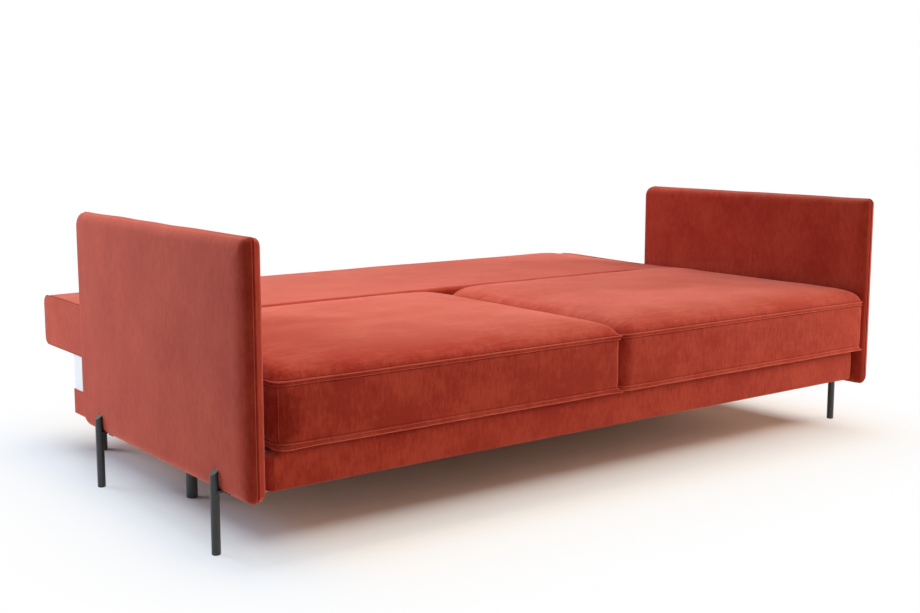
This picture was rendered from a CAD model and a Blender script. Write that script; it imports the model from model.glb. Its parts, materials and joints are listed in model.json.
"""Click clack sofa bed in brick-red velvet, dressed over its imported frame.

Every length is in metres, in the frame's own axes: X runs along the sofa, -Y is its front and +Z is up.
"""

from __future__ import annotations

import json
import logging
import math
from dataclasses import dataclass, field, replace
from enum import Enum
from typing import Any, Sequence

import bmesh
import bpy
import numpy as np
from mathutils import Euler, Matrix, Vector, noise


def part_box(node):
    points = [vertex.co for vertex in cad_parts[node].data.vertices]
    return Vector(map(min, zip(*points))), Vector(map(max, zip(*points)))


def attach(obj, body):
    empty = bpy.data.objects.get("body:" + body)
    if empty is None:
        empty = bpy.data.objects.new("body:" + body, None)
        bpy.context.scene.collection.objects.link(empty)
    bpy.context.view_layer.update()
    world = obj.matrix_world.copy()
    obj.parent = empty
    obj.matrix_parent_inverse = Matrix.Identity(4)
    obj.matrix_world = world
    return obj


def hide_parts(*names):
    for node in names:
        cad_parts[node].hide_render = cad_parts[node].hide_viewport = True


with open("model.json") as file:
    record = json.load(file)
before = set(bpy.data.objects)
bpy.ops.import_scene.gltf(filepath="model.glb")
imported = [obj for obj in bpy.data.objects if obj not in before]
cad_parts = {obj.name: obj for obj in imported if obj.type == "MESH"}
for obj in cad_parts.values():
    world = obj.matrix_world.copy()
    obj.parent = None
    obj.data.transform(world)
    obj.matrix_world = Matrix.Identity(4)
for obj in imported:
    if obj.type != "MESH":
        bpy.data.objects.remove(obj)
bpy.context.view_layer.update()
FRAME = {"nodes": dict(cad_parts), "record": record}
MM = 0.001
log = logging.getLogger("sofa_bed")

Colour = tuple[float, float, float]
Point = tuple[float, float, float]


class Side(Enum):
    """The two ends of the sofa, as seen from its front."""

    LEFT = -1
    RIGHT = 1

    @property
    def word(self) -> str:
        """The word that ends the names of this side's pieces."""
        return self.name.lower()

    def pick(self, left: Any, right: Any) -> Any:
        """Returns the value that belongs to this side."""
        return left if self is Side.LEFT else right

    def span(self, places: tuple[float, float]) -> list[float]:
        """Returns two distances from the middle as places along the sofa on this side, the lower one first."""
        return sorted(self.value * place for place in places)


class Body(str, Enum):
    """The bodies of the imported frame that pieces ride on."""

    BASE = "base"
    SEAT = "seat"
    BACK = "back"


# Finishes


class Nodes:
    """A small builder for one material's node tree."""

    def __init__(self, name: str) -> None:
        """Starts an empty material with a Principled shader.

        Args:
            name: The material's name.
        """
        self.material = bpy.data.materials.new(name)
        self.material.use_nodes = True
        self.tree = self.material.node_tree
        self.tree.nodes.clear()
        self.output = self.add("ShaderNodeOutputMaterial")
        self.shader = self.add("ShaderNodeBsdfPrincipled")
        self.link(self.shader.outputs["BSDF"], self.output.inputs["Surface"])
        self.place = self.add("ShaderNodeTexCoord").outputs["Object"]

    def add(self, kind: str, **settings: object) -> bpy.types.Node:
        """Adds a node.

        Args:
            kind: The node's type.
            **settings: Attributes to set on the node.

        Returns:
            The new node.
        """
        node = self.tree.nodes.new(kind)
        for key, value in settings.items():
            setattr(node, key, value)
        return node

    def link(self, output: bpy.types.NodeSocket, target: bpy.types.NodeSocket) -> None:
        """Links an output to an input."""
        self.tree.links.new(output, target)

    def stretched(self, scale: Point) -> bpy.types.NodeSocket:
        """Scales the object's own coordinates.

        Args:
            scale: Repeats per metre along X, Y and Z.

        Returns:
            The scaled coordinates.
        """
        mapping = self.add("ShaderNodeMapping")
        mapping.inputs["Scale"].default_value = scale
        self.link(self.place, mapping.inputs["Vector"])
        return mapping.outputs["Vector"]

    def noise(self, scale: Point, detail: float = 2.0, roughness: float = 0.5) -> bpy.types.NodeSocket:
        """Adds a noise texture.

        Args:
            scale: Repeats per metre along X, Y and Z.
            detail: Number of octaves.
            roughness: Weight of the finer octaves.

        Returns:
            The noise, from 0 to 1.
        """
        texture = self.add("ShaderNodeTexNoise")
        texture.inputs["Scale"].default_value = 1.0
        texture.inputs["Detail"].default_value = detail
        texture.inputs["Roughness"].default_value = roughness
        self.link(self.stretched(scale), texture.inputs["Vector"])
        return texture.outputs["Fac"]

    def ranged(self, value: bpy.types.NodeSocket, low: float, high: float, to_low: float = 0.0,
               to_high: float = 1.0) -> bpy.types.NodeSocket:
        """Maps a value from one range to another and clamps it.

        Args:
            value: The value to map.
            low: Value that gives to_low.
            high: Value that gives to_high.
            to_low: Result at low.
            to_high: Result at high.

        Returns:
            The mapped value.
        """
        node = self.add("ShaderNodeMapRange")
        self.link(value, node.inputs["Value"])
        for key, number in zip(("From Min", "From Max", "To Min", "To Max"), (low, high, to_low, to_high)):
            node.inputs[key].default_value = number
        return node.outputs["Result"]

    def maths(self, operation: str, first: bpy.types.NodeSocket | float,
              second: bpy.types.NodeSocket | float = 0.0) -> bpy.types.NodeSocket:
        """Adds a maths node.

        Args:
            operation: The operation's name.
            first: First value or socket.
            second: Second value or socket.

        Returns:
            The result.
        """
        node = self.add("ShaderNodeMath", operation=operation)
        for socket, value in zip(node.inputs, (first, second)):
            if isinstance(value, (int, float)):
                socket.default_value = value
            else:
                self.link(value, socket)
        return node.outputs[0]

    def weighted(self, *terms: tuple[bpy.types.NodeSocket, float]) -> bpy.types.NodeSocket:
        """Adds up values by their shares.

        Args:
            *terms: Each value and its share.

        Returns:
            The sum.
        """
        total, *others = (self.maths("MULTIPLY", value, share) for value, share in terms)
        for other in others:
            total = self.maths("ADD", total, other)
        return total

    def axis(self, kind: str, axis: str) -> bpy.types.NodeSocket:
        """Splits off one axis of the object's own coordinates or normals.

        Args:
            kind: Object or Normal.
            axis: X, Y or Z.

        Returns:
            The value along the axis.
        """
        split = self.add("ShaderNodeSeparateXYZ")
        self.link(self.add("ShaderNodeTexCoord").outputs[kind], split.inputs[0])
        return split.outputs[axis]

    def mixed(self, factor: bpy.types.NodeSocket | float, first: bpy.types.NodeSocket | Colour,
              second: bpy.types.NodeSocket | Colour) -> bpy.types.NodeSocket:
        """Mixes two colours.

        Args:
            factor: Share of the second colour.
            first: First colour or socket.
            second: Second colour or socket.

        Returns:
            The mixed colour.
        """
        node = self.add("ShaderNodeMix", data_type="RGBA")
        for socket, value in zip((node.inputs[0], node.inputs[6], node.inputs[7]), (factor, first, second)):
            if isinstance(value, (int, float)):
                socket.default_value = value
            elif isinstance(value, tuple):
                socket.default_value = (*value, 1.0)
            else:
                self.link(value, socket)
        return node.outputs[2]

    def colour(self, value: bpy.types.NodeSocket, average: Colour) -> None:
        """Links the base colour and keeps its average on the socket and in the viewport.

        Args:
            value: The colour to link.
            average: The plain colour that stands for it.
        """
        self.shader.inputs["Base Color"].default_value = (*average, 1.0)
        self.material.diffuse_color = (*average, 1.0)
        self.link(value, self.shader.inputs["Base Color"])

    def bumped(self, height: bpy.types.NodeSocket, distance: float, strength: float = 1.0) -> None:
        """Links a height to the shader's normal.

        Args:
            height: The height, from 0 to 1.
            distance: Size of the full height in metres.
            strength: Share of the effect.
        """
        node = self.add("ShaderNodeBump")
        node.inputs["Strength"].default_value = strength
        node.inputs["Distance"].default_value = distance
        self.link(height, node.inputs["Height"])
        self.link(node.outputs["Normal"], self.shader.inputs["Normal"])

    def set(self, **values: float | Colour) -> None:
        """Sets uniform values on the shader's own sockets.

        Args:
            **values: Socket names, with underscores for spaces, and their values.
        """
        for key, value in values.items():
            socket = self.shader.inputs[key.replace("_", " ")]
            socket.default_value = (*value, 1.0) if isinstance(value, tuple) else value


@dataclass(frozen=True)
class Velvet:
    """Short-piled velvet, whose nap lies lighter and darker in brushed patches."""

    name: str
    deep: Colour = (0.34, 0.012, 0.002)
    brushed: Colour = (0.48, 0.046, 0.019)
    crest_deep: Colour = (0.45, 0.026, 0.006)
    crest_brushed: Colour = (0.55, 0.106, 0.066)
    mottling: float = 1.0
    sheen: float = 1.0
    sheen_tint: Colour = (1.0, 0.32, 0.24)
    sheen_roughness: float = 0.5
    pile_height: float = 0.0004
    patch_scale: Point = (7.0, 9.0, 8.5)
    fleck_scale: Point = (46.0, 64.0, 52.0)
    streak_scale_flat: Point = (12.0, 150.0, 60.0)
    streak_scale_upright: Point = (140.0, 110.0, 34.0)
    grain_scale: Point = (420.0, 420.0, 380.0)
    grain_tint: Colour = (0.60, 0.10, 0.06)
    shares: tuple[float, float, float] = (0.41, 0.34, 0.25)
    even_nap: float = 0.51
    nap_spread: float = 0.085

    def material(self) -> bpy.types.Material:
        """Builds the velvet.

        Returns:
            The material.
        """
        nodes = Nodes(self.name)
        upward = nodes.ranged(nodes.axis("Normal", "Z"), 0.25, 0.9)
        patches = nodes.noise(self.patch_scale, 3.0, 0.55)
        flecks = nodes.noise(self.fleck_scale, 5.0, 0.75)
        streaks = nodes.add("ShaderNodeMix", data_type="FLOAT")
        nodes.link(upward, streaks.inputs[0])
        nodes.link(nodes.noise(self.streak_scale_upright, 4.0, 0.7), streaks.inputs[2])
        nodes.link(nodes.noise(self.streak_scale_flat, 4.0, 0.7), streaks.inputs[3])
        grain = nodes.noise(self.grain_scale, 3.0, 0.6)
        nap = nodes.weighted(*zip((patches, streaks.outputs[0], flecks), self.shares))
        spread = self.nap_spread / self.mottling
        lie = nodes.ranged(nap, self.even_nap - spread, self.even_nap + spread)
        upright = nodes.mixed(lie, self.deep, self.brushed)
        crest = nodes.mixed(lie, self.crest_deep, self.crest_brushed)
        lit = nodes.mixed(nodes.maths("MULTIPLY", upward, 0.6), upright, crest)
        lit = nodes.mixed(nodes.ranged(grain, 0.35, 0.65, 0.0, 0.16), lit, self.grain_tint)
        nodes.colour(lit, tuple((a + b) / 2 for a, b in zip(self.deep, self.brushed)))
        lean = nodes.maths("ADD", nodes.maths("MULTIPLY", flecks, 2.0), streaks.outputs[0])
        nodes.bumped(nodes.maths("ADD", grain, lean), self.pile_height, 0.6)
        nodes.set(Roughness=0.86, Specular_IOR_Level=0.18, Sheen_Weight=self.sheen, Sheen_Roughness=self.sheen_roughness,
                  Sheen_Tint=self.sheen_tint)
        return nodes.material


@dataclass(frozen=True)
class Laminate:
    """White melamine facing on chipboard, with a faint pebble."""

    name: str
    face: Colour = (0.97, 0.985, 1.0)

    def material(self) -> bpy.types.Material:
        """Builds the laminate.

        Returns:
            The material.
        """
        nodes = Nodes(self.name)
        cloud = nodes.noise((2.0, 2.0, 2.0), 3.0)
        pebble = nodes.noise((700.0, 700.0, 700.0), 3.0)
        tone = nodes.mixed(nodes.ranged(cloud, 0.3, 0.7), self.face, tuple(0.95 * c for c in self.face))
        nodes.colour(tone, self.face)
        nodes.bumped(pebble, 0.00012, 0.35)
        nodes.set(Roughness=0.30, Specular_IOR_Level=0.5)
        return nodes.material


@dataclass(frozen=True)
class Plywood:
    """Birch plywood: long grain on the faces and thin plies on the edges."""

    name: str
    pale: Colour = (0.62, 0.44, 0.25)
    dark: Colour = (0.40, 0.24, 0.11)
    glue: Colour = (0.30, 0.17, 0.08)
    ply: float = 0.0016

    def material(self) -> bpy.types.Material:
        """Builds the plywood.

        Returns:
            The material.
        """
        nodes = Nodes(self.name)
        warp = nodes.noise((2.2, 9.0, 9.0), 4.0, 0.6)
        fibre = nodes.noise((6.0, 260.0, 260.0), 3.0, 0.6)
        figure = nodes.weighted((warp, 0.6), (fibre, 0.4))
        face = nodes.mixed(nodes.ranged(figure, 0.36, 0.66), self.pale, self.dark)
        height = nodes.maths("ADD", nodes.axis("Object", "Z"), nodes.maths("MULTIPLY", warp, self.ply / 2))
        plies = nodes.ranged(nodes.maths("PINGPONG", height, self.ply), self.ply * 0.35, self.ply * 0.65)
        edge = nodes.ranged(nodes.maths("ABSOLUTE", nodes.axis("Normal", "Z")), 0.7, 0.3, 0.0, 0.5)
        banded = nodes.mixed(nodes.maths("MULTIPLY", plies, edge), face, self.glue)
        nodes.colour(banded, self.pale)
        nodes.bumped(fibre, 0.0002, 0.4)
        nodes.set(Roughness=0.62, Specular_IOR_Level=0.3)
        return nodes.material


@dataclass(frozen=True)
class PaintedSteel:
    """Powder-coated steel with a fine orange peel."""

    name: str
    paint: Colour = (0.035, 0.037, 0.040)
    roughness: float = 0.42

    def material(self) -> bpy.types.Material:
        """Builds the paint.

        Returns:
            The material.
        """
        nodes = Nodes(self.name)
        peel = nodes.noise((520.0, 520.0, 520.0), 2.0)
        wear = nodes.noise((14.0, 14.0, 14.0), 4.0)
        tone = nodes.mixed(nodes.ranged(wear, 0.35, 0.7), self.paint, tuple(1.5 * c for c in self.paint))
        nodes.colour(tone, self.paint)
        nodes.bumped(peel, 0.00016, 0.5)
        nodes.set(Roughness=self.roughness, Metallic=0.0, Specular_IOR_Level=0.5)
        return nodes.material


@dataclass(frozen=True)
class BareSteel:
    """Zinc-plated or drawn steel, with soft stains and fine lines."""

    name: str
    metal: Colour = (0.50, 0.51, 0.52)
    roughness: float = 0.36

    def material(self) -> bpy.types.Material:
        """Builds the metal.

        Returns:
            The material.
        """
        nodes = Nodes(self.name)
        stain = nodes.noise((38.0, 38.0, 38.0), 4.0)
        lines = nodes.noise((900.0, 60.0, 60.0), 2.0)
        tone = nodes.mixed(nodes.ranged(stain, 0.35, 0.7), self.metal, tuple(0.72 * c for c in self.metal))
        nodes.colour(tone, self.metal)
        nodes.bumped(lines, 0.00008, 0.4)
        nodes.set(Roughness=self.roughness, Metallic=1.0)
        return nodes.material


Finish = Velvet | Laminate | Plywood | PaintedSteel | BareSteel


# Meshes


@dataclass(frozen=True)
class Counts:
    """Numbers of points round a rounded rectangle."""

    corner: int
    long: int
    short: int


@dataclass(frozen=True)
class Corners:
    """Corner radii of a rounded rectangle, counterclockwise from the corner at the high end of both axes."""

    high_high: float
    low_high: float
    low_low: float
    high_low: float

    @classmethod
    def even(cls, radius: float) -> Corners:
        """The same radius at each corner."""
        return cls(radius, radius, radius, radius)

    @property
    def radii(self) -> tuple[float, float, float, float]:
        """The four radii in order."""
        return (self.high_high, self.low_high, self.low_low, self.high_low)

    def grown(self, growth: float, limit: float, least: float = 0.001) -> Corners:
        """Radii of a line drawn inside or outside this outline.

        Args:
            growth: What each radius grows by.
            limit: Largest radius.
            least: Smallest radius.

        Returns:
            The new radii.
        """
        return Corners(*(max(min(radius + growth, limit), min(least, limit)) for radius in self.radii))

    def spread(self, inset: float, rates: Corners, limit: float) -> Corners:
        """Radii of a line drawn inside this outline, each corner growing at its own rate.

        Args:
            inset: Distance between the lines.
            rates: What each radius gains for each unit of inset.
            limit: Largest radius.

        Returns:
            The new radii.
        """
        return Corners(*(min(radius + inset * gain, limit) for radius, gain in zip(self.radii, rates.radii)))


def rounded_outline(half_length: float, half_depth: float, corners: Corners, counts: Counts) -> np.ndarray:
    """Points of a rounded rectangle, counterclockwise round the origin.

    Args:
        half_length: Half the length along the first axis.
        half_depth: Half the length along the second axis.
        corners: Corner radii.
        counts: Points along each corner and side.

    Returns:
        An array of points, one row each.
    """
    signs = ((1, 1), (-1, 1), (-1, -1), (1, -1))
    arcs = []
    for index, ((sign_x, sign_y), radius) in enumerate(zip(signs, corners.radii)):
        centre = np.array([sign_x * (half_length - radius), sign_y * (half_depth - radius)])
        angles = np.radians(90.0 * index + np.linspace(0.0, 90.0, counts.corner + 1))
        arcs.append(centre + radius * np.stack([np.cos(angles), np.sin(angles)], axis=1))
    points = []
    for index, arc in enumerate(arcs):
        steps = counts.long if index % 2 == 0 else counts.short
        start, end = arc[-1], arcs[(index + 1) % 4][0]
        shares = np.arange(1, steps)[:, None] / steps
        points += [arc, start + (end - start) * shares]
    return np.concatenate(points)


def level(outline: np.ndarray, height: float | np.ndarray) -> np.ndarray:
    """Lays an outline at a height.

    Args:
        outline: Points in plan, one row each.
        height: One height, or one for each point.

    Returns:
        Points in space, one row each.
    """
    return np.column_stack([outline, np.broadcast_to(height, len(outline))])


def upended(outline: np.ndarray, place: float) -> np.ndarray:
    """Stands an outline across the sofa at a place along it; one row for each point."""
    return np.column_stack([np.full(len(outline), place), outline])


def smooth(value: np.ndarray | float, low: float, high: float) -> np.ndarray | float:
    """Rises smoothly from 0 at low to 1 at high."""
    share = np.clip((value - low) / (high - low), 0.0, 1.0)
    return share * share * (3.0 - 2.0 * share)


def ripple(points: np.ndarray, scale: Point, seed: float) -> np.ndarray:
    """Smooth noise at each point.

    Args:
        points: Points, one row each.
        scale: Repeats per metre along each axis.
        seed: Offset that picks the pattern.

    Returns:
        One value from about -1 to 1 for each point.
    """
    scaled = points * np.array(scale) + seed
    return np.array([noise.noise(Vector(row)) for row in scaled])


def ring_mesh(name: str, rings: np.ndarray, middle: int | None = None) -> bpy.types.Object:
    """Makes a closed object from rings of points.

    Args:
        name: The object's name.
        rings: Array of rings, points and coordinates, counterclockwise seen from the last ring.
        middle: Column in the middle of a short side, from which narrow faces close the last ring in pairs of columns;
            where there is none, one face closes it.

    Returns:
        The object, linked to the scene.
    """
    count_rings, count = rings.shape[:2]
    faces = []
    for row in range(count_rings - 1):
        low, high = row * count, (row + 1) * count
        faces += [(low + c, low + (c + 1) % count, high + (c + 1) % count, high + c) for c in range(count)]
    faces.append(tuple(reversed(range(count))))
    last = (count_rings - 1) * count
    if middle is None:
        faces.append(tuple(range(last, last + count)))
    else:
        ahead, behind = ([last + (middle + way * k) % count for k in range(count // 2 + 1)] for way in (1, -1))
        faces.append((ahead[0], ahead[1], behind[1]))
        faces += [(ahead[k], ahead[k + 1], behind[k + 1], behind[k]) for k in range(1, count // 2 - 1)]
        faces.append((ahead[-2], ahead[-1], behind[-2]))
    return mesh_object(name, rings.reshape(-1, 3), faces)


def mesh_object(name: str, points: np.ndarray | Sequence[Point], faces: Sequence[Sequence[int]]) -> bpy.types.Object:
    """Makes a smooth-shaded mesh object.

    Args:
        name: The object's name.
        points: Vertices.
        faces: Corner indices of each face.

    Returns:
        The object, linked to the scene.
    """
    mesh = bpy.data.meshes.new(name)
    mesh.from_pydata([tuple(map(float, p)) for p in points], [], [tuple(f) for f in faces])
    mesh.validate()
    mesh.polygons.foreach_set("use_smooth", [True] * len(mesh.polygons))
    mesh.update()
    piece = bpy.data.objects.new(name, mesh)
    bpy.context.scene.collection.objects.link(piece)
    return piece


def tube(name: str, path: np.ndarray, radius: float, sides: int = 8, closed: bool = False) -> bpy.types.Object:
    """Makes a round cord along a path.

    Args:
        name: The object's name.
        path: Points along the middle of the cord.
        radius: The cord's radius.
        sides: Points round its section.
        closed: Whether its ends meet.

    Returns:
        The object, linked to the scene.
    """
    count = len(path)
    before = np.roll(path, 1, axis=0)
    after = np.roll(path, -1, axis=0)
    if not closed:
        before[0], after[-1] = path[0], path[-1]
    along = after - before
    along /= np.linalg.norm(along, axis=1, keepdims=True)
    reference = np.array([0.0, 0.0, 1.0]) if abs(along[:, 2]).max() < 0.9 else np.array([0.577, 0.577, 0.577])
    across = np.cross(along, reference)
    across /= np.linalg.norm(across, axis=1, keepdims=True)
    up = np.cross(across, along)
    angles = np.linspace(0.0, 2.0 * math.pi, sides, endpoint=False)
    rings = path[:, None, :] + radius * (
        np.cos(angles)[None, :, None] * across[:, None, :] + np.sin(angles)[None, :, None] * up[:, None, :])
    faces = []
    for row in range(count if closed else count - 1):
        low, high = row * sides, ((row + 1) % count) * sides
        faces += [(low + c, high + c, high + (c + 1) % sides, low + (c + 1) % sides) for c in range(sides)]
    if not closed:
        faces.append(tuple(range(sides)))
        faces.append(tuple(reversed(range((count - 1) * sides, count * sides))))
    return mesh_object(name, rings.reshape(-1, 3), faces)


def block(low: Point, high: Point) -> bpy.types.Object:
    """Makes a box between two corners, used as a cutter.

    Args:
        low: Lowest corner.
        high: Highest corner.

    Returns:
        The box.
    """
    corners = [(x, y, z) for x in (low[0], high[0]) for y in (low[1], high[1]) for z in (low[2], high[2])]
    faces = [(0, 1, 3, 2), (4, 6, 7, 5), (0, 4, 5, 1), (2, 3, 7, 6), (0, 2, 6, 4), (1, 5, 7, 3)]
    return mesh_object("cutter", corners, faces)


def joined(name: str, parts: Sequence[bpy.types.Object]) -> bpy.types.Object:
    """Joins objects into one.

    Args:
        name: Name of the joined object.
        parts: Objects to join; they are removed.

    Returns:
        The joined object.
    """
    merged = bmesh.new()
    for part in parts:
        merged.from_mesh(part.data)
    mesh = bpy.data.meshes.new(name)
    merged.to_mesh(mesh)
    merged.free()
    for part in parts:
        bpy.data.objects.remove(part)
    piece = bpy.data.objects.new(name, mesh)
    bpy.context.scene.collection.objects.link(piece)
    return piece


def cut(piece: bpy.types.Object, cutters: Sequence[bpy.types.Object]) -> None:
    """Cuts boxes out of a piece.

    Args:
        piece: The piece to cut.
        cutters: The boxes, which are removed.
    """
    for cutter in cutters:
        modifier = piece.modifiers.new("cut", "BOOLEAN")
        modifier.operation = "DIFFERENCE"
        modifier.solver = "EXACT"
        modifier.object = cutter
    graph = bpy.context.evaluated_depsgraph_get()
    mesh = bpy.data.meshes.new_from_object(piece.evaluated_get(graph))
    piece.modifiers.clear()
    piece.data = mesh
    for cutter in cutters:
        bpy.data.objects.remove(cutter)


def soften_flats(piece: bpy.types.Object, degrees: float = 38.0) -> None:
    """Shades a piece smooth but for its sharp edges.

    Args:
        piece: The piece.
        degrees: Edge angle from which an edge stays sharp.
    """
    sharp = bmesh.new()
    sharp.from_mesh(piece.data)
    for edge in sharp.edges:
        edge.smooth = len(edge.link_faces) == 2 and edge.calc_face_angle(0.0) < math.radians(degrees)
    for face in sharp.faces:
        face.smooth = True
    sharp.to_mesh(piece.data)
    sharp.free()


@dataclass(frozen=True)
class Filling:
    """Foam and wadding: it holds a cover softly near its shape while pressure fills the cover out."""

    pressure: float = 4.0
    hold: float = 0.3
    swell: float = 0.005
    stiffness: float = 12.0
    quality: int = 4
    air_damping: float = 5.0
    frames: int = 20
    stride: int = 3
    reach: float = 0.055
    batch: int = 500

    def fill(self, name: str, rings: np.ndarray, sewn: np.ndarray, outward: int) -> None:
        """Presses the free part of a cover out with Blender's cloth and adds the result to its rings.

        Args:
            name: The cover's name, for the log.
            rings: Rings of points, which are changed.
            sewn: Whether each point is held fast by a seam or a board.
            outward: The axis along which the result is kept, 0 for x and 2 for z.
        """
        columns = np.arange(0, rings.shape[1], self.stride)
        cover = ring_mesh("cover", rings[:, columns])
        pins = cover.vertex_groups.new(name="pins")
        fast = sewn[:, columns].ravel()
        pins.add(np.flatnonzero(fast).tolist(), 1.0, "REPLACE")
        pins.add(np.flatnonzero(~fast).tolist(), self.hold, "REPLACE")
        cloth = cover.modifiers.new("cloth", "CLOTH")
        settings = cloth.settings
        settings.vertex_group_mass = pins.name
        settings.quality = self.quality
        settings.air_damping = self.air_damping
        settings.tension_stiffness = settings.compression_stiffness = self.stiffness
        settings.shear_stiffness = self.stiffness / 2
        settings.use_pressure = True
        settings.uniform_pressure_force = self.pressure
        settings.effector_weights.gravity = 0.0
        cloth.collision_settings.use_collision = False
        cloth.point_cache.frame_start, cloth.point_cache.frame_end = 1, self.frames
        for frame in range(1, self.frames + 1):
            bpy.context.scene.frame_set(frame)
        filled = cover.evaluated_get(bpy.context.evaluated_depsgraph_get()).to_mesh()
        moved = np.empty(len(filled.vertices) * 3)
        filled.vertices.foreach_get("co", moved)
        move = moved.reshape(len(rings), len(columns), 3) - rings[:, columns]
        bpy.data.objects.remove(cover)
        bpy.context.scene.frame_set(1)
        length = np.linalg.norm(move, axis=2, keepdims=True)
        move *= self.swell * np.tanh(length / self.swell) / np.maximum(length, 1e-9)
        free = np.flatnonzero(~sewn.ravel())
        points = rings.reshape(-1, 3)
        pressed = self.evened(rings[:, columns], move[:, :, outward].ravel(), points[free])
        points[free, outward] += pressed
        log.info("%s filled out by up to %.1f mm", name, 1000 * float(np.abs(pressed).max()))

    def evened(self, places: np.ndarray, moves: np.ndarray, points: np.ndarray) -> np.ndarray:
        """Averages the moves near each point, so that wrinkles go and the fullness stays.

        Args:
            places: Rings of places that the moves are known for.
            moves: The move at each place.
            points: The points that need a move.

        Returns:
            The averaged move for each point.
        """
        along = np.roll(places, -1, axis=1) - np.roll(places, 1, axis=1)
        area = np.linalg.norm(np.cross(along, np.gradient(places, axis=0)), axis=2).ravel() + 1e-9
        known = places.reshape(-1, 3) / self.reach
        square = (known ** 2).sum(axis=1)
        averaged = np.empty(len(points))
        for start in range(0, len(points), self.batch):
            near = points[start:start + self.batch] / self.reach
            weights = area * np.exp(2.0 * near @ known.T - square - (near ** 2).sum(axis=1)[:, None])
            averaged[start:start + self.batch] = weights @ moves / weights.sum(axis=1)
        return averaged


@dataclass
class Wardrobe:
    """The finishes of the sofa, each made once."""

    made: dict[str, bpy.types.Material] = field(default_factory=dict)

    def get(self, finish: Finish) -> bpy.types.Material:
        """Returns the material of a finish, and makes it the first time.

        Args:
            finish: The finish.

        Returns:
            Its material.
        """
        if finish.name not in self.made:
            self.made[finish.name] = finish.material()
        return self.made[finish.name]

    def dress(self, piece: bpy.types.Object, finish: Finish) -> None:
        """Gives every slot of a piece one finish."""
        material = self.get(finish)
        if not piece.data.materials:
            piece.data.materials.append(material)
        for slot in piece.material_slots:
            slot.material = material

    def fit(self, piece: bpy.types.Object, finish: Finish, body: Body, slot: str) -> None:
        """Dresses a piece that is made here and hangs it on its body.

        Args:
            piece: The piece.
            finish: Its finish.
            body: The body it rides on.
            slot: Its material slot in the record.
        """
        self.dress(piece, finish)
        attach(piece, body.value)


CUSHION_VELVET = Velvet("cushion_velvet", mottling=1.4)
ARM_VELVET = Velvet("arm_velvet", mottling=0.8)
SEAM_VELVET = Velvet("seam_velvet", deep=(0.50, 0.060, 0.032), brushed=(0.58, 0.09, 0.052), sheen_roughness=0.6)
LIP_VELVET = Velvet("lip_velvet", deep=(0.66, 0.10, 0.06), brushed=(0.76, 0.16, 0.10), sheen_roughness=0.6)
VALLEY_VELVET = Velvet("valley_velvet", deep=(0.16, 0.004, 0.001), brushed=(0.20, 0.008, 0.002),
                       crest_deep=(0.16, 0.004, 0.001), crest_brushed=(0.20, 0.008, 0.002), sheen=0.15)
RAIL_VELVET = Velvet("rail_velvet", mottling=1.3)
BACK_VELVET = Velvet("back_velvet")
WHITE_LAMINATE = Laminate("white_laminate")
BIRCH_PLYWOOD = Plywood("birch_plywood")
BLACK_PAINT = PaintedSteel("black_paint")
ZINC_PLATE = BareSteel("zinc_plate")
SPRING_WIRE = BareSteel("spring_wire", metal=(0.6, 0.6, 0.62), roughness=0.22)


# Sub-assemblies


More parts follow.
